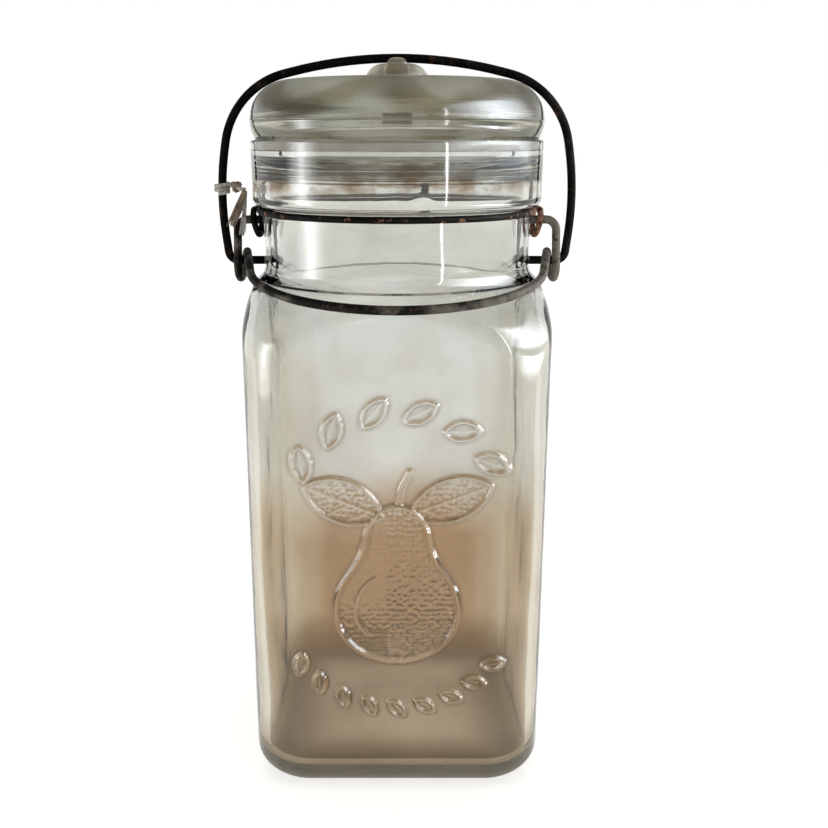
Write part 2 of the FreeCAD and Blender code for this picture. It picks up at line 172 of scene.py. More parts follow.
def square_colours(tree, at, height, colour, corners, base, flat_edge):
    """The square jar's painted colours: paler painted reflections of the surroundings at the corners,
    painted light in the base's middle, a painted brown image of the back wire in the collar and
    painted shade at the foot of raised work."""
    # Paler painted reflections of the surroundings on the corners, where the flat walls end.
    across = math_node(tree, "ABSOLUTE", at["X"], 0.0)
    along = math_node(tree, "ABSOLUTE", at["Y"], 0.0)
    nearness = math_node(tree, "MINIMUM", across, along)
    corner = ease(tree, nearness, flat_edge - 0.006, flat_edge)
    colour = mixed(tree, corner, colour, by_height(tree, height, corners))
    # Painted light in the base's middle, low down.
    outward = math_node(tree, "MAXIMUM", across, along)
    on_base = math_node(tree, "SUBTRACT", 1.0, ease(tree, outward, 0.018, 0.037))
    low = math_node(tree, "SUBTRACT", 1.0, ease(tree, at["Z"], 0.009, 0.012))
    colour = mixed(tree, math_node(tree, "MULTIPLY", on_base, low), colour, base)
    # Painted brown image of the back wire seen through the collar, in soft patches near its height.
    wire_image_noise = noise_node(tree, 75.0, 5.0, (1.0, 1.0, 1.7))
    above = math_node(tree, "SUBTRACT", at["Z"], PAINTED_WIRE_LEVEL)
    away = math_node(tree, "ABSOLUTE", above, 0.0)
    near = math_node(tree, "SUBTRACT", 1.0, ease(tree, away, 0.002, 0.0065))
    patch = math_node(tree, "MULTIPLY", ease(tree, wire_image_noise.outputs["Fac"], 0.48, 0.6), near)
    colour = mixed(tree, patch, colour, PAINTED_WIRE_IMAGE, "MULTIPLY")
    # Painted shade at the foot of raised work, from a point attribute.
    painted_foot_shade = node(tree, "ShaderNodeAttribute", attribute_name="painted_foot_shade")
    return mixed(tree, painted_foot_shade.outputs["Fac"], colour, FOOT_SHADE_COLOUR, "MULTIPLY")


def glass(name, middle, corners=None, base=None, flat_edge=0.0, ripples=(90.0, (1.0, 1.0, 0.35), 0.16)):
    """Old pressed glass with a cloudy film, in colours by height that hold painted reflections, shade and
    sheen.

    middle is those of the walls' middle; corners, base and flat_edge are a square jar's: the
    colours of its corners, painted paler reflections; of its base's middle, painted light; and
    where its flat walls end. ripples is the surface's noise: scale, stretch and strength.
    """
    material, tree, shader = new_material(name)
    shader.inputs["Transmission Weight"].default_value = 1.0
    shader.inputs["IOR"].default_value = 1.5
    shader.inputs["Roughness"].default_value = 0.0
    at = place_parts(tree)
    height = drifting_height(tree, at, leaning=corners is not None)
    # The colours by height hold painted light: on the jar a painted tan reflection of the brown
    # surroundings low on the walls, on the lid painted shade on top and painted sheen below.
    colour = by_height(tree, height, middle)
    if corners:
        colour = square_colours(tree, at, height, colour, corners, base, flat_edge)
    film = noise_node(tree, 42.0, 3.0)
    clouded = ramp(tree, film.outputs["Fac"], [(0.38, (0.9, 0.88, 0.85)), (0.6, (1.0, 1.0, 1.0))])
    colour = mixed(tree, 1.0, colour, clouded.outputs["Color"], "MULTIPLY")
    link(tree, colour, shader.inputs["Base Color"])
    scale, stretch, strength = ripples
    ripple = noise_node(tree, scale, 3.0, stretch)
    bump(tree, shader, ripple.outputs["Fac"], strength, 0.0006)
    absorption = node(
        tree,
        "ShaderNodeVolumeAbsorption",
        inputs={"Color": (0.62, 0.66, 0.58, 1.0), "Density": 16.0},
    )
    output = next(n for n in tree.nodes if n.type == "OUTPUT_MATERIAL")
    link(tree, absorption.outputs["Volume"], output.inputs["Volume"])
    return material


def frost(material, start, end, rough, least=0.0):
    """Makes a glass rougher from start to end, two heights in metres, as worn glass is."""
    tree = material.node_tree
    shader = next(n for n in tree.nodes if n.type == "BSDF_PRINCIPLED")
    level = ease(tree, place_parts(tree)["Z"], min(start, end), max(start, end))
    if start > end:
        level = math_node(tree, "SUBTRACT", 1.0, level)
    roughness = math_node(tree, "ADD", math_node(tree, "MULTIPLY", level, rough), least)
    link(tree, roughness, shader.inputs["Roughness"])


def worn_wire(name, dark, worn, rust, rusty, rust_from=-0.03, rubbed_more=0.16, shine=0.1):
    """Old steel wire: dark oxide, rubbed grey patches and rust in spots.

    rusty is how much rust the wire has at its left end and at its right end; the rust
    grows from rust_from on, and rubbed_more is how much more the right end is rubbed.
    """
    material, tree, shader = new_material(name)
    at = place_parts(tree)
    rightness = ease(tree, at["X"], -0.005, 0.045)
    patches = noise_node(tree, 170.0, 5.0)
    more = math_node(tree, "MULTIPLY", rightness, rubbed_more)
    rubbed = math_node(tree, "ADD", patches.outputs["Fac"], more)
    worn_mix = ramp(tree, rubbed, [(0.52, dark), (0.76, worn)])
    spots = noise_node(tree, 480.0, 6.0)
    rust_share = ease(tree, at["X"], rust_from, 0.042)
    spread = math_node(tree, "MULTIPLY", rust_share, (rusty[1] - rusty[0]) * 0.3)
    base_rust = math_node(tree, "ADD", spread, rusty[0] * 0.3)
    spotted = math_node(tree, "ADD", spots.outputs["Fac"], base_rust)
    spot_mask = ramp(tree, spotted, [(0.6, (0.0, 0.0, 0.0)), (0.72, (1.0, 1.0, 1.0))])
    colour = mixed(tree, spot_mask.outputs["Color"], worn_mix.outputs["Color"], rust)
    link(tree, colour, shader.inputs["Base Color"])
    rough = node(
        tree,
        "ShaderNodeMapRange",
        inputs={"From Min": 0.3, "From Max": 0.7, "To Min": 0.62, "To Max": 0.38},
    )
    link(tree, patches.outputs["Fac"], rough.inputs["Value"])
    link(tree, rough.outputs["Result"], shader.inputs["Roughness"])
    shader.inputs["Specular IOR Level"].default_value = shine
    grain = noise_node(tree, 1500.0, 6.0)
    bump(tree, shader, grain.outputs["Fac"], 0.6, 0.0003)
    return material


def rubber(name):
    """Aged pale grey-brown rubber: matte, with a fine bloom."""
    material, tree, shader = new_material(name)
    bloom = noise_node(tree, 260.0, 5.0)
    colour = ramp(
        tree, bloom.outputs["Fac"], [(0.35, (0.56, 0.52, 0.45)), (0.7, (0.72, 0.69, 0.62))]
    )
    link(tree, colour.outputs["Color"], shader.inputs["Base Color"])
    shader.inputs["Roughness"].default_value = 0.75
    fine = noise_node(tree, 2400.0, 4.0)
    bump(tree, shader, fine.outputs["Fac"], 0.4, 0.0002)
    return material


def cotton(name, dirty, middling, clean):
    """Grubby cotton, patchy from dirty to clean."""
    material, tree, shader = new_material(name)
    dirt = noise_node(tree, 520.0, 6.0)
    colour = ramp(tree, dirt.outputs["Fac"], [(0.3, dirty), (0.5, middling), (0.7, clean)])
    link(tree, colour.outputs["Color"], shader.inputs["Base Color"])
    shader.inputs["Roughness"].default_value = 0.95
    shader.inputs["Sheen Weight"].default_value = 0.3
    fibre = noise_node(tree, 3000.0, 3.0)
    bump(tree, shader, fibre.outputs["Fac"], 0.6, 0.0003)
    return material


def floor_material():
    """Plain pale matte paper, lit from within but for the shade under the jar."""
    material, tree, shader = new_material("pale_floor")
    shader.inputs["Base Color"].default_value = (0.93, 0.93, 0.925, 1.0)
    shader.inputs["Roughness"].default_value = 0.9
    shader.inputs["Specular IOR Level"].default_value = 0.1
    shader.inputs["Emission Color"].default_value = (1.0, 1.0, 1.0, 1.0)
    at = place_parts(tree)
    across = math_node(tree, "ABSOLUTE", at["X"], 0.0)
    along = math_node(tree, "ABSOLUTE", at["Y"], 0.0)
    outward = math_node(tree, "MAXIMUM", across, along)
    rim = math_node(tree, "SUBTRACT", ease(tree, outward, 0.004, 0.032), ease(tree, outward, 0.036, 0.043))
    shade = math_node(tree, "SUBTRACT", 0.74, math_node(tree, "MULTIPLY", rim, 0.06))
    link(tree, shade, shader.inputs["Emission Strength"])
    return material


# ------------------------------------------------------------------ mesh helpers
def add_object(name, points, faces, material):
    """A smooth-shaded mesh object from points in millimetres."""
    mesh = bpy.data.meshes.new(name)
    mesh.from_pydata((np.asarray(points) * MM).tolist(), [], faces)
    mesh.polygons.foreach_set("use_smooth", [True] * len(mesh.polygons))
    mesh.materials.append(material)
    mesh.update()
    made = bpy.data.objects.new(name, mesh)
    bpy.context.scene.collection.objects.link(made)
    return made


def skin(name, rows, low, high, material):
    """Rows of one number of points, closed round each row, and closed by end points."""
    rows = np.asarray(rows)
    count = rows.shape[1]
    points = [low, *rows.reshape(-1, 3), high]
    last = len(points) - 1
    start = 1
    faces = []
    for j in range(count):
        k = (j + 1) % count
        faces.append((0, start + k, start + j))
        faces.append((last, last - count + j, last - count + k))
    for i in range(rows.shape[0] - 1):
        a = start + i * count
        b = a + count
        faces += [(a + j, a + (j + 1) % count, b + (j + 1) % count, b + j) for j in range(count)]
    return add_object(name, points, faces, material)


def rounded(corners, steps=6):
    """A profile of (r, z) corners, each rounded by its third item."""
    out = []
    for i, corner in enumerate(corners):
        at = Vector(corner[:2])
        radius = corner[2] if len(corner) > 2 else 0.0
        if radius == 0.0 or i in (0, len(corners) - 1):
            out.append(at)
            continue
        back = (Vector(corners[i - 1][:2]) - at).normalized()
        ahead = (Vector(corners[i + 1][:2]) - at).normalized()
        opening = back.angle(ahead)
        reach = radius / math.tan(opening / 2)
        middle = at + (back + ahead).normalized() * (radius / math.sin(opening / 2))
        first, last = at + back * reach - middle, at + ahead * reach - middle
        turn = first.angle(last)
        for k in range(steps + 1):
            t = k / steps
            spread = math.sin(turn)
            arm = first * (math.sin((1 - t) * turn) / spread) + last * (math.sin(t * turn) / spread)
            out.append(middle + arm)
    return out


def spaced(profile, step):
    """The same profile with long runs divided."""
    out = [profile[0]]
    for a, b in zip(profile, profile[1:]):
        count = max(1, math.ceil((b - a).length / step))
        out += [a.lerp(b, k / count) for k in range(1, count + 1)]
    return out


# ------------------------------------------------------------------ jar
HALF, CORNER, WALL, BASE = 42.25, 17.0, 3.3, 5.5
HEEL, HEEL_IN, PUSH_UP, DISH, DISH_IN = 8.0, 5.0, 3.2, 26.0, 25.0
SHOULDER_BEND, SHOULDER_AXIS, SHOULDER_LEVEL = 60.0, 4.5, 96.4
NECK, NECK_IN = 38.3, 34.3
COLLAR, COLLAR_IN, COLLAR_LOW, COLLAR_TOP = 41.3, 36.4, 164.6, 182.9
LEDGE, LEDGE_WALL, RIM, RIM_TOP, MOUTH = 180.0, 40.2, 31.8, 184.9, 29.2
EMBOSS_LOW, EMBOSS_HIGH = 18.0, 124.0


def column_angles():
    """Angles round the axis, close together on the front where the glass is embossed."""
    fine = np.arange(-28.0, 28.01, 0.36)
    edge = np.arange(0.6, 6.01, 0.6)
    across = np.concatenate([-28.0 - edge[::-1], fine, 28.0 + edge])
    front = np.arctan2(-HALF, across)
    gap = 2 * np.pi - (front[-1] - front[0])
    count = int(gap / math.radians(1.6))
    rest = front[-1] + gap * np.arange(1, count) / count
    return np.concatenate([front, rest])


ANGLES = column_angles()
COS, SIN = np.cos(ANGLES), np.sin(ANGLES)


def square_radius(half, corner):
    """How far a rounded square's edge is from the axis at each column's angle."""
    c, s = np.abs(COS), np.abs(SIN)
    flat = half - corner
    side = half / np.maximum(c, s)
    along = flat * (c + s)
    reach = along**2 - 2 * flat**2 + corner**2
    bend = along + np.sqrt(np.maximum(reach, 0.0))
    in_corner = side * np.minimum(c, s) > flat
    return np.where(in_corner, bend, side)


def soft_min(a, b, width):
    """The smaller of two lengths, eased where they cross."""
    h = np.clip(0.5 + 0.5 * (b - a) / width, 0.0, 1.0)
    return b + (a - b) * h - width * h * (1.0 - h)


def ring_row(radius, z):
    """One row of points round the axis."""
    radius = np.broadcast_to(radius, ANGLES.shape)
    return np.stack([radius * COS, radius * SIN, np.full(ANGLES.shape, z)], axis=1)


def shoulder_radius(z, bend):
    """How far the shoulder's arc is from the axis at a height."""
    return SHOULDER_AXIS + math.sqrt(bend**2 - max(z - SHOULDER_LEVEL, 0.0) ** 2)


def outer_levels():
    """Heights up the outside, close together where the glass is embossed."""
    coarse_low = np.linspace(8.0, 19.6, 8)[1:]
    fine = np.arange(20.0, 122.01, 0.38)
    upper = np.arange(122.8, 145.0, 0.6)
    return np.concatenate([coarse_low, fine, upper])


def push_up(r, dish):
    """How high the pushed-up base is at a radius."""
    return PUSH_UP * (0.5 + 0.5 * math.cos(math.pi * r / dish))


def jar_rows():
    """Rows of the jar's skin from the base's middle, up the outside, over the rim and down
    the inside, and how many of them are outside."""
    rows = []
    for r in np.arange(2.0, DISH, 1.5):
        rows.append(ring_row(r, push_up(r, DISH)))
    rows.append(ring_row(DISH + 0.4, 0.0))
    foot = square_radius(HALF - HEEL, CORNER - HEEL)
    rows.append(ring_row(DISH + (foot - DISH) * 0.5, 0.0))
    for k in range(13):
        t = math.radians(7.5 * k)
        inset = HEEL - HEEL * math.sin(t)
        section = square_radius(HALF - inset, CORNER - inset)
        rows.append(ring_row(section, HEEL - HEEL * math.cos(t)))
    wall = square_radius(HALF, CORNER)
    for z in outer_levels():
        rows.append(ring_row(soft_min(wall, shoulder_radius(z, SHOULDER_BEND), 3.4), z))
    top = rounded(
        [
            (shoulder_radius(144.4, SHOULDER_BEND) - 0.1, 144.5),
            (NECK, 146.2, 5.0),
            (NECK, COLLAR_LOW, 0.5),
            (COLLAR, COLLAR_LOW, 2.4),
            (COLLAR, COLLAR_TOP, 0.5),
            (LEDGE_WALL, COLLAR_TOP, 0.35),
            (LEDGE_WALL, LEDGE, 0.3),
            (RIM, LEDGE, 0.4),
            (RIM, RIM_TOP, 0.9),
            (MOUTH, RIM_TOP, 0.9),
            (MOUTH, 178.0, 1.5),
            (COLLAR_IN, 174.0, 4.2),
            (COLLAR_IN, 167.4, 2.6),
            (NECK_IN, 162.4, 4.0),
            (NECK_IN, 145.2, 4.2),
            (shoulder_radius(143.6, SHOULDER_BEND - WALL), 143.6),
        ]
    )
    for point in spaced(top, 1.2):
        rows.append(ring_row(point[0], point[1]))
    outer_count = len(rows)
    inner_wall = square_radius(HALF - WALL, CORNER - WALL)
    for z in np.concatenate([np.arange(142.8, 118.0, -0.8), np.arange(117.5, 10.6, -2.0)]):
        inner_shoulder = shoulder_radius(z, SHOULDER_BEND - WALL)
        rows.append(ring_row(soft_min(inner_wall, inner_shoulder, 4.0), z))
    for k in range(9):
        t = math.radians(90 - 11.25 * k)
        inset = HEEL_IN - HEEL_IN * math.sin(t)
        section = square_radius(HALF - WALL - inset, CORNER - WALL - inset)
        rows.append(ring_row(section, BASE + HEEL_IN - HEEL_IN * math.cos(t)))
    foot_in = square_radius(HALF - WALL - HEEL_IN, CORNER - WALL - HEEL_IN)
    edge = DISH_IN + 0.4
    rows.append(ring_row(edge + (foot_in - edge) * 0.5, BASE))
    for r in np.arange(DISH_IN, 1.0, -1.5):
        rows.append(ring_row(r, BASE + push_up(r, DISH_IN)))
    return np.asarray(rows), outer_count


# ------------------------------------------------------------------ embossing
def ridge(distance, width, height):
    """A rounded ridge along the line where a distance is zero."""
    t = np.clip(np.abs(distance) / width, 0.0, 1.0)
    return height * (0.5 + 0.5 * np.cos(np.pi * t))


def turned(x, z, centre, angle):
    """Coordinates about a centre, turned by an angle."""
    c, s = math.cos(angle), math.sin(angle)
    dx, dz = x - centre[0], z - centre[1]
    return dx * c + dz * s, -dx * s + dz * c


def leaf_distance(x, z, centre, angle, length, width):
    """Signed distance to a pointed leaf: where two discs overlap."""
    along, across = turned(x, z, centre, angle)
    radius = (length**2 / 4 + width**2 / 4) / width
    offset = radius - width / 2
    upper = np.hypot(along, across + offset) - radius
    lower = np.hypot(along, across - offset) - radius
    return np.maximum(upper, lower), along, across


def segment_distance(x, z, a, b):
    """Distance to the straight line from a to b."""
    dx, dz = b[0] - a[0], b[1] - a[1]
    t = np.clip(((x - a[0]) * dx + (z - a[1]) * dz) / (dx * dx + dz * dz), 0.0, 1.0)
    return np.hypot(x - a[0] - t * dx, z - a[1] - t * dz)


def grain(x, z, pitch, seed):
    """Small domes on a shaken grid, for a stippled ground."""
    rng = np.random.default_rng(seed)
    shake = rng.uniform(-0.28, 0.28, (2, 64, 64))
    best = np.full(x.shape, 9.0)
    cell_x, cell_z = np.floor(x / pitch), np.floor(z / pitch)
    for i in (-1, 0, 1):
        for j in (-1, 0, 1):
            cx, cz = cell_x + i, cell_z + j
            kx, kz = cx.astype(int) % 64, cz.astype(int) % 64
            px = (cx + 0.5 + shake[0, kx, kz]) * pitch
            pz = (cz + 0.5 + shake[1, kx, kz]) * pitch
            best = np.minimum(best, np.hypot(x - px, z - pz))
    return np.clip(1.0 - best / (pitch * 0.52), 0.0, 1.0)


def veined_leaf(x, z, centre, angle, length, width, veins, seed):
    """A leaf with a raised edge, a middle rib, side veins and a stippled ground."""
    edge, along, across = leaf_distance(x, z, centre, angle, length, width)
    height = ridge(edge, 0.8, 1.3)
    inside = np.clip(-edge / 0.8, 0.0, 1.0)
    reach = length * 0.44
    rib = ridge(segment_distance(along, across, (-reach, 0), (reach, 0)), 0.7, 0.6)
    height = np.maximum(height, rib * inside)
    for i in range(veins):
        root = -reach * 0.75 + 1.6 * reach * i / max(veins - 1, 1)
        for side in (-1, 1):
            tip = (root + width * 0.42, side * width * 0.42)
            vein = ridge(segment_distance(along, across, (root, 0.0), tip), 0.5, 0.42)
            height = np.maximum(height, vein * inside)
    return np.maximum(height, grain(x, z, 1.35, seed) * 0.5 * inside)


def pear(x, z):
    """A pear with a raised edge, two inner contour lines and a stippled ground."""
    low = np.hypot(x / 1.06, z - 58.0) - 16.0
    high = np.hypot(x, z - 80.5) - 7.6
    blend = np.clip(0.5 + 0.5 * (high - low) / 13.0, 0.0, 1.0)
    edge = high + (low - high) * blend - 13.0 * blend * (1.0 - blend)
    inside = np.clip(-edge / 0.9, 0.0, 1.0)
    height = ridge(edge, 0.9, 1.45)
    shade = np.where(x > -3.0, 1.0, 0.35)
    height = np.maximum(height, grain(x, z, 1.45, 5) * 0.55 * inside * shade)
    gleam = ridge(edge + 5.2, 0.7, 0.5) * (x < -6.0) * (z < 74.0) * (z > 50.0)
    eye = ridge(np.hypot(x, z - 43.6) - 1.5, 0.6, 0.6)
    return np.maximum(np.maximum(height, gleam), eye)


def sprig(x, z, centre, angle, size):
    """A small ornament: one leaf shape with its middle rib."""
    edge, along, across = leaf_distance(x, z, centre, angle, size, size * 0.52)
    rib = ridge(segment_distance(along, across, (-size * 0.36, 0), (size * 0.36, 0)), 0.55, 0.45)
    return np.maximum(ridge(edge, 0.75, 1.35), rib)


def arc_points(left, middle, right, count):
    """Evenly spread (x, z, heading) places along the circle through three points."""
    (ax, az), (bx, bz), (cx, cz) = left, middle, right
    d = 2 * (ax * (bz - cz) + bx * (cz - az) + cx * (az - bz))
    a2, b2, c2 = ax * ax + az * az, bx * bx + bz * bz, cx * cx + cz * cz
    ux = (a2 * (bz - cz) + b2 * (cz - az) + c2 * (az - bz)) / d
    uz = (a2 * (cx - bx) + b2 * (ax - cx) + c2 * (bx - ax)) / d
    radius = math.hypot(ax - ux, az - uz)
    start, end = math.atan2(az - uz, ax - ux), math.atan2(cz - uz, cx - ux)
    places = []
    for i in range(count):
        angle = start + (end - start) * i / (count - 1)
        places.append((ux + radius * math.cos(angle), uz + radius * math.sin(angle), angle))
    return places


def emboss(x, z):
    """The raised height on the front: a pear with leaves between two rows of leaves."""
    height = pear(x, z)
    height = np.maximum(height, veined_leaf(x, z, (-14.5, 89.5), math.radians(158), 23.0, 11.5, 4, 11))
    height = np.maximum(height, veined_leaf(x, z, (14.5, 90.0), math.radians(20), 23.5, 11.5, 4, 12))
    stem = np.minimum(
        segment_distance(x, z, (0.2, 87.0), (1.2, 93.0)),
        segment_distance(x, z, (1.2, 93.0), (3.4, 97.6)),
    )
    height = np.maximum(height, ridge(stem - 0.5, 0.75, 0.85))
    for px, pz, angle in arc_points((-25.5, 100.0), (0.0, 114.6), (25.5, 100.0), 6):
        height = np.maximum(height, sprig(x, z, (px, pz), angle - 0.9, 9.6))
    for px, pz, angle in arc_points((-27.0, 41.0), (0.0, 27.0), (27.0, 41.0), 9):
        height = np.maximum(height, sprig(x, z, (px, pz), angle + 0.75, 6.4))
    return height


def painted_foot_shade_of(heights):
    """How much painted shade lies at each point of a raised surface: most at a ridge's foot."""
    around = np.zeros(heights.shape)
    reach = 3
    for i in range(-reach, reach + 1):
        for j in range(-reach, reach + 1):
            around += np.roll(heights, (i, j), (0, 1))
    around /= (2 * reach + 1) ** 2
    return np.clip((around - heights) / 0.4, 0.0, 1.0)


def swollen(rows, outer_count):
    """Makes the walls slightly uneven, the inside more than the outside."""
    for i in range(rows.shape[0]):
        inner = i >= outer_count
        if not 6.0 < rows[i, 0, 2] < 162.0:
            continue
        size = 0.34 if inner else 0.05
        for j in range(rows.shape[1]):
            p = rows[i, j]
            broad = noise.noise(Vector((p[0] * 0.045, p[1] * 0.045, p[2] * 0.028 + 40 * inner)))
            fine = noise.noise(Vector((p[0] * 0.12, p[1] * 0.12, p[2] * 0.08 + 90 * inner)))
            rows[i, j, :2] *= 1.0 + (size * broad + 0.05 * fine) / 42.0


def make_jar(material):
    rows, outer_count = jar_rows()
    on_front = np.zeros(rows.shape[:2], bool)
    on_front[:outer_count] = (
        (rows[:outer_count, :, 1] < -HALF + 1.6)
        & (rows[:outer_count, :, 2] > EMBOSS_LOW)
        & (rows[:outer_count, :, 2] < EMBOSS_HIGH)
    )
    heights = np.zeros(rows.shape[:2])
    heights[on_front] = emboss(rows[..., 0][on_front], rows[..., 2][on_front])
    rows[..., 1] -= heights
    swollen(rows, outer_count)
    low = (0.0, 0.0, PUSH_UP)
    high = (0.0, 0.0, BASE + PUSH_UP)
    jar = skin("jar_glass", rows, low, high, material)
    # The painted shade at the foot of raised work, kept as a point attribute.
    painted_foot_shade = jar.data.attributes.new("painted_foot_shade", "FLOAT", "POINT")
    painted_foot_shade.data.foreach_set("value", np.concatenate([[0.0], painted_foot_shade_of(heights).ravel(), [0.0]]))
    return jar


# ------------------------------------------------------------------ lid and ring
SEAT = 182.32
LID_RECESS, LID_SEAT, LID_SIDE, LID_FLAT = 32.7, 39.4, 41.24, 30.75
ROUND = 224  # points round the lid and the ring


def turned_rows(profile):
    """Rows of a profile turned about the axis."""
    angles = np.arange(ROUND) * 2 * np.pi / ROUND
    rows = []
    for r, z in profile:
        rows.append(np.stack([r * np.cos(angles), r * np.sin(angles), np.full(ROUND, z)], axis=1))
    return np.asarray(rows)


def arc_profile(start, end, radius, steps=14):
    """Points from start to end on an arc that bulges to the right of travel."""
    a, b = Vector(start), Vector(end)
    half = (b - a) / 2
    left = Vector((-half[1], half[0])).normalized()
    centre = a + half + left * math.sqrt(radius**2 - half.length**2)
    p, q = a - centre, b - centre
    turn = p.angle(q)
    out = []
    for k in range(1, steps + 1):
        t = k / steps
        from_p = math.sin((1 - t) * turn) / math.sin(turn)
        from_q = math.sin(t * turn) / math.sin(turn)
        out.append(centre + p * from_p + q * from_q)
    return out


def make_lid(material):
    """The lid: its recess, its rounded side with the mould's seam, its flat top and boss."""
    widest, crown = SEAT + 5.8, SEAT + 16.3
    under = rounded(
        [
            (2.0, SEAT + 8.0),
            (12.0, SEAT + 7.5),
            (22.0, SEAT + 6.3),
            (31.9, SEAT + 4.4, 1.2),
            (LID_RECESS, SEAT, 0.6),
            (LID_SEAT, SEAT),
        ]
    )
    profile = spaced(under, 1.6)
    profile += arc_profile((LID_SEAT, SEAT), (LID_SIDE, widest - 0.5), 9.3)
    seam = [(0.04, -0.3), (0.2, -0.1), (0.2, 0.1), (0.04, 0.3), (0.0, 0.5)]
    profile += [Vector((LID_SIDE + out, widest + up)) for out, up in seam]
    profile += arc_profile((LID_SIDE, widest + 0.5), (LID_FLAT, crown), 10.5, 18)
    flat = [Vector((LID_FLAT, crown)), Vector((9.6, crown + 0.2)), Vector((8.9, crown + 0.4))]
    profile += spaced(flat, 2.0)[1:]
    profile += arc_profile((8.9, crown + 0.4), (4.6, crown + 4.55), 4.9, 10)
    profile += [Vector((3.0, crown + 4.65)), Vector((1.2, crown + 4.7))]
    ends = (0, 0, SEAT + 8.0), (0, 0, crown + 4.7)
    return skin("lid_dome", turned_rows(profile), *ends, material)


def make_knobs(material):
    """The two knobs on the boss, one each side of the bail, as soft wedges."""
    pieces = []
    count, off_axis, half_x, half_y = 48, 3.85, 3.0, 1.75
    low, high = SEAT + 16.0, SEAT + 22.35
    for name, side in (("lid_knob_back", 1), ("lid_knob_front", -1)):
        rows = []
        for t in (0.0, 0.35, 0.6, 0.78, 0.9, 0.97, 1.0):
            taper = math.sqrt(max(1.0 - max(0.0, (t - 0.6) / 0.4) ** 2, 0.0))
            scale = 0.35 + 0.65 * taper
            row = []
            for k in range(count):
                a = 2 * math.pi * k / count
                c, s = math.cos(a), math.sin(a)
                x = math.copysign(abs(c) ** 0.6, c) * half_x
                y = math.copysign(abs(s) ** 0.6, s) * half_y
                row.append((x * scale, side * off_axis + y * scale, low + (high - low) * t))
            rows.append(row)
        ends = (0, side * off_axis, low), (0, side * off_axis, high + 0.02)
        pieces.append(skin(name, rows, *ends, material))
    return pieces


def make_ring(material):
    """The flat rubber between the ledge and the lid."""
    inner, outer, low, high, bend = 32.2, 39.7, LEDGE + 0.02, SEAT - 0.04, 0.5
    start = (inner, 181.1)
    corners = [(inner, low, bend), (outer, low, bend), (outer, high, bend), (inner, high, bend)]
    profile = spaced(rounded([start, *corners, start]), 0.8)[:-1]
    angles = np.arange(ROUND) * 2 * np.pi / ROUND
    points = []
    for angle in angles:
        for r, z in profile:
            points.append((r * math.cos(angle), r * math.sin(angle), z))
    size = len(profile)
    faces = []
    for i in range(ROUND):
        a, b = i * size, ((i + 1) % ROUND) * size
        for j in range(size):
            k = (j + 1) % size
            faces.append((a + j, b + j, b + k, a + k))
    return add_object("sealing_ring_rubber", points, faces, material)


# ------------------------------------------------------------------ string
def eased_path(points, step=0.25):
    """A smooth line through points: Catmull-Rom spans, about a step apart."""
    points = [np.asarray(p, float) for p in points]
    padded = [2 * points[0] - points[1], *points, 2 * points[-1] - points[-2]]
    out = [points[0]]
    for a, b, c, d in zip(padded, padded[1:], padded[2:], padded[3:]):
        count = max(2, math.ceil(np.linalg.norm(c - b) / step))
        for k in range(1, count + 1):
            t = k / count
            out.append(
                0.5 * (2 * b + (c - a) * t + (2 * a - 5 * b + 4 * c - d) * t**2
                       + (3 * b - a - 3 * c + d) * t**3)
            )
    return np.asarray(out)


def frames_along(line):
    """A unit tangent and two unit sides at each point, turning as little as they can."""
    tangents = np.gradient(line, axis=0)
    tangents /= np.linalg.norm(tangents, axis=1)[:, None]
    side = np.cross(tangents[0], (0.31, 0.87, 0.38))
    sides = []
    for tangent in tangents:
        side = side - tangent * np.dot(side, tangent)
        side /= np.linalg.norm(side)
        sides.append(side)
    sides = np.asarray(sides)
    return tangents, sides, np.cross(tangents, sides)


def tube_about(line, radius, sides=7):
    """The points and faces of a round tube, closed at its ends."""
    _, first, second = frames_along(line)
    angles = np.arange(sides) * 2 * np.pi / sides
    radius = np.broadcast_to(radius, len(line))
    ring = first[:, None] * np.cos(angles)[:, None] + second[:, None] * np.sin(angles)[:, None]
    points = (line[:, None] + ring * radius[:, None, None]).reshape(-1, 3)
    faces = [tuple(range(sides - 1, -1, -1))]
    for i in range(len(line) - 1):
        a = i * sides
        b = a + sides
        faces += [(a + j, a + (j + 1) % sides, b + (j + 1) % sides, b + j) for j in range(sides)]
    faces.append(tuple(range(len(points) - sides, len(points))))
    return points, faces


def twisted(line, thick, pitch, plies=3):
    """Lines of the plies of a twisted string."""
    _, first, second = frames_along(line)
    run = np.concatenate([[0.0], np.cumsum(np.linalg.norm(np.diff(line, axis=0), axis=1))])
    out = []
    for k in range(plies):
        angle = 2 * np.pi * (run / pitch + k / plies)
        reach = thick * 0.27
        out.append(line + reach * (first * np.cos(angle)[:, None] + second * np.sin(angle)[:, None]))
    return out


def joined(name, tubes, material):
    """One object of several tubes."""
    points, faces, at = [], [], 0
    for tube_points, tube_faces in tubes:
        points.append(tube_points)
        faces += [tuple(v + at for v in face) for face in tube_faces]
        at += len(tube_points)
    return add_object(name, np.concatenate(points), faces, material)


def tail(start, middle, end, across, count, spread, radius, seed):
    """A frayed end: fibres that start together and spread along one direction."""
    rng = np.random.default_rng(seed)
    across = np.asarray(across, float)
    tubes = []
    for k in range(count):
        share = 2 * k / (count - 1) - 1
        shake = rng.normal(0, 0.18, (3, 3))
        length = 1 - 0.16 * rng.random()
        a = np.asarray(start) + across * share * spread[0]
        b = np.asarray(middle) + across * share * spread[1] + shake[1]
        c = b + (np.asarray(end) + across * share * spread[2] + shake[2] - b) * length
        line = eased_path([a, b, c], 0.5)
        taper = radius * (1 - 0.55 * np.linspace(0, 1, len(line)) ** 2)
        tubes.append(tube_about(line, taper, 5))
    return tubes


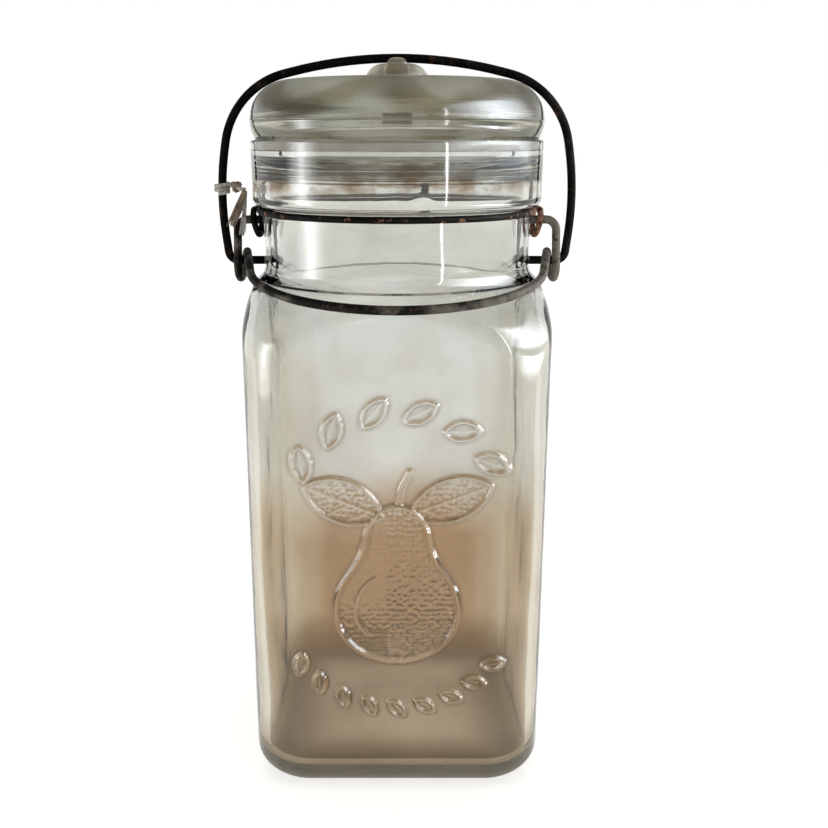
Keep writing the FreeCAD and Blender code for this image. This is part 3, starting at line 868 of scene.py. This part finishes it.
def make_string(pale, stained):
    """Cotton string wound on the bail's left side and knotted, with two frayed ends."""
    thick, bail_radius = 1.15, 1.2
    hold = bail_radius + 0.52
    centre_x, centre_y, level, climb = -50.3, 0.5, 169.4, 2.6
    wraps = []
    for i in range(31):
        angle = math.radians(-115 + 30 * i)
        x, y = centre_x + hold * math.cos(angle), centre_y + hold * math.sin(angle)
        wraps.append((x, y, level - climb / 2 + climb * i / 30))
    lead = [(-47.9, -0.9, 170.6), (-46.3, -1.3, 169.9), (-44.4, -2.2, 169.3), (-43.3, -2.9, 169.2)]
    line = eased_path([*wraps, *lead])
    wrap_plies = [tube_about(ply, thick * 0.28) for ply in twisted(line, thick, 2.6)]
    turn = np.linspace(0, 2 * np.pi, 61)
    size = 0.42
    knot = np.stack(
        [
            -46.0 + size * (np.sin(turn) + 2 * np.sin(2 * turn)),
            -1.3 - 0.5 * np.sin(3 * turn),
            170.0 + size * (np.cos(turn) - 2 * np.cos(2 * turn)),
        ],
        axis=1,
    )
    knot_plies = [tube_about(ply, thick * 0.27) for ply in twisted(knot, thick, 2.4)]
    stained_tail = tail(
        start=(-43.3, -3.0, 169.0),
        middle=(-45.0, -3.6, 164.6),
        end=(-47.6, -4.2, 158.6),
        across=(0.8, 0.0, -0.45),
        count=13,
        spread=(0.4, 0.9, 1.05),
        radius=0.27,
        seed=3,
    )
    pale_tail = tail(
        start=(-43.2, -2.6, 168.8),
        middle=(-43.6, -3.4, 163.0),
        end=(-44.4, -3.9, 156.2),
        across=(1.0, 0.0, 0.0),
        count=10,
        spread=(0.3, 0.5, 0.8),
        radius=0.24,
        seed=4,
    )
    return [
        joined("string_wraps", wrap_plies, pale),
        joined("string_knot", knot_plies, stained),
        joined("string_tail_stained", stained_tail, stained),
        joined("string_tail_pale", pale_tail, pale),
    ]


# ------------------------------------------------------------------ camera, light and stage
def make_camera():
    data = bpy.data.cameras.new("camera")
    data.sensor_width = 36.0
    data.lens = 1000 / 828 * 36.0
    data.shift_x = 17 / 828
    camera = bpy.data.objects.new("camera", data)
    camera.location = (0.0, -0.2943, 0.1837)
    camera.rotation_euler = (math.radians(74.5), 0.0, 0.0)
    bpy.context.scene.collection.objects.link(camera)
    bpy.context.scene.camera = camera


def area_light(name, place, target, size, power, colour=(1.0, 1.0, 1.0)):
    data = bpy.data.lights.new(name, "AREA")
    data.shape = "RECTANGLE"
    data.size, data.size_y = size
    data.energy = power
    data.color = colour
    light = bpy.data.objects.new(name, data)
    light.location = place
    aim = Vector(target) - Vector(place)
    light.rotation_euler = aim.to_track_quat("-Z", "Y").to_euler()
    bpy.context.scene.collection.objects.link(light)
    return light


def window(name, azimuth, level, size, glow, colour):
    """An upright soft light seen in the gloss only, at an angle round from the front to the
    right and a height: panes one behind another, so that it fades outwards. glow is how
    bright its middle is."""
    a, panes = math.radians(azimuth), 8
    for i in range(panes):
        distance = 0.5 + 0.004 * i
        place = (distance * math.sin(a), -distance * math.cos(a), level)
        share = 1.0 - i / panes
        pane = (size[0] * share, size[1] * (0.6 + 0.4 * share))
        part = 2 * (i + 1) / (panes * (panes + 1))
        power = glow * part * math.pi * pane[0] * pane[1]
        light = area_light(f"{name}_{i}", place, (0, 0, level), pane, power, colour)
        light.visible_diffuse = False
        light.visible_camera = False
        light.visible_transmission = False


def make_stage():
    size = 6.0
    mesh = bpy.data.meshes.new("floor")
    corners = [(-size, -size), (size, -size), (size, size), (-size, size)]
    mesh.from_pydata([(x, y, -0.0002) for x, y in corners], [], [(0, 1, 2, 3)])
    mesh.materials.append(floor_material())
    floor = bpy.data.objects.new("floor", mesh)
    bpy.context.scene.collection.objects.link(floor)
    world = bpy.data.worlds.new("studio")
    world.use_nodes = True
    tree = world.node_tree
    background = next(n for n in tree.nodes if n.type == "BACKGROUND")
    heading = node(tree, "ShaderNodeTexCoord")
    parts = node(tree, "ShaderNodeSeparateXYZ")
    link(tree, heading.outputs["Generated"], parts.inputs["Vector"])
    ceiling = ease(tree, parts.outputs["Z"], 0.13, 0.4)
    colour = ramp(tree, ceiling, [(0.0, (1.0, 1.0, 1.0)), (1.0, (0.28, 0.27, 0.23))])
    link(tree, colour.outputs["Color"], background.inputs["Color"])
    bpy.context.scene.world = world
    bpy.context.scene.view_settings.view_transform = "Standard"
    window("window_right", 78.0, 0.37, (1.1, 0.46), 19.0, (0.88, 0.95, 1.0))
    window("window_low", 78.0, 0.045, (0.7, 0.08), 24.0, (0.9, 0.96, 1.0))
    window("window_slit", 36.0, 0.22, (0.03, 0.44), 26.0, (1.0, 1.0, 1.0))
    window("window_left", -74.0, 0.12, (0.3, 0.3), 12.0, (0.97, 0.99, 1.0))
    area_light("overhead", (0.0, 0.2, 1.6), (0, 0, 0), (1.6, 1.6), 3.0)


# ------------------------------------------------------------------ build
make_camera()
make_stage()

# Glass tints; the cream is painted, a paler reflection of the surroundings on the corners.
CLEAR, PAINTED_CORNER_CREAM, NECK_GREY = (0.78, 0.785, 0.775), (0.725, 0.71, 0.655), (0.75, 0.77, 0.76)
COLLAR_GREY = (0.83, 0.84, 0.825)
# A painted tan reflection of the brown surroundings low on the flat walls, paler on the corners; the walls
# go darker brown towards the bottom.
PAINTED_SURROUNDINGS_TAN, PAINTED_CORNER_TAN, BOTTOM_BROWN = (0.6, 0.475, 0.345), (0.70, 0.645, 0.545), (0.34, 0.26, 0.15)
NECK_UP = [(0.155, NECK_GREY), (0.163, NECK_GREY), (0.167, COLLAR_GREY)]
jar_glass = glass(
    "jar_glass_clear",
    middle=[(0.007, BOTTOM_BROWN), (0.018, PAINTED_SURROUNDINGS_TAN), (0.082, PAINTED_SURROUNDINGS_TAN), (0.1, CLEAR), (0.14, CLEAR), *NECK_UP],
    corners=[(0.007, BOTTOM_BROWN), (0.02, PAINTED_CORNER_TAN), (0.082, PAINTED_CORNER_TAN), (0.1, PAINTED_CORNER_CREAM), (0.135, PAINTED_CORNER_CREAM), *NECK_UP],
    # Painted light in the base's middle.
    base=(0.9, 0.87, 0.8),
    flat_edge=0.03,
)
frost(jar_glass, 0.011, 0.005, 0.4)
# The lid's olive is painted shade on its top, its silver painted sheen on its lower side; paler on the
# boss and knob tops.
PAINTED_SHADE_OLIVE, PAINTED_SHEEN_SILVER, PALE_TOP = (0.45, 0.385, 0.27), (0.93, 0.94, 0.92), (0.88, 0.86, 0.81)
lid_glass = glass(
    "lid_glass_clear",
    middle=[(0.1885, PAINTED_SHEEN_SILVER), (0.1925, PAINTED_SHADE_OLIVE), (0.197, PAINTED_SHADE_OLIVE), (0.1995, PALE_TOP)],
    ripples=(240.0, (0.1, 0.1, 1.6), 0.25),
)
frost(lid_glass, 0.190, 0.195, 0.28, least=0.09)

jar = make_jar(jar_glass)
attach(jar, "jar")
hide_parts("jar_body")

lid = make_lid(lid_glass)
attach(lid, "lid")
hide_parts("glass_lid")
for knob in make_knobs(lid_glass):
    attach(knob, "lid")

ring = make_ring(rubber("aged_rubber"))
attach(ring, "jar")
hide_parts("sealing_ring")

pale_cotton = cotton("pale_cotton", (0.16, 0.15, 0.12), (0.38, 0.37, 0.33), (0.6, 0.58, 0.53))
stained_cotton = cotton("stained_cotton", (0.07, 0.045, 0.03), (0.2, 0.14, 0.1), (0.36, 0.28, 0.21))
for i, piece in enumerate(make_string(pale_cotton, stained_cotton)):
    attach(piece, "bail")
    if i == 0:
        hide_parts("string_tie")

BLACK, RUST, COPPER = (0.004, 0.0035, 0.003), (0.055, 0.028, 0.018), (0.30, 0.15, 0.10)
wires = {
    "neck_wire": worn_wire(
        "neck_wire_steel", BLACK, (0.02, 0.014, 0.01), COPPER, (0.0, 0.9), rust_from=0.03, shine=0.05
    ),
    "lever_wire": worn_wire(
        "lever_wire_steel", BLACK, (0.19, 0.17, 0.145), RUST, (0.05, 0.2), rubbed_more=0.36, shine=0.08
    ),
    "bail_wire": worn_wire("bail_wire_steel", BLACK, (0.012, 0.011, 0.011), RUST, (0.0, 0.0), shine=0.02),
}
for name, material in wires.items():
    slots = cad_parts[name].data.materials
    slots.clear()
    slots.append(material)
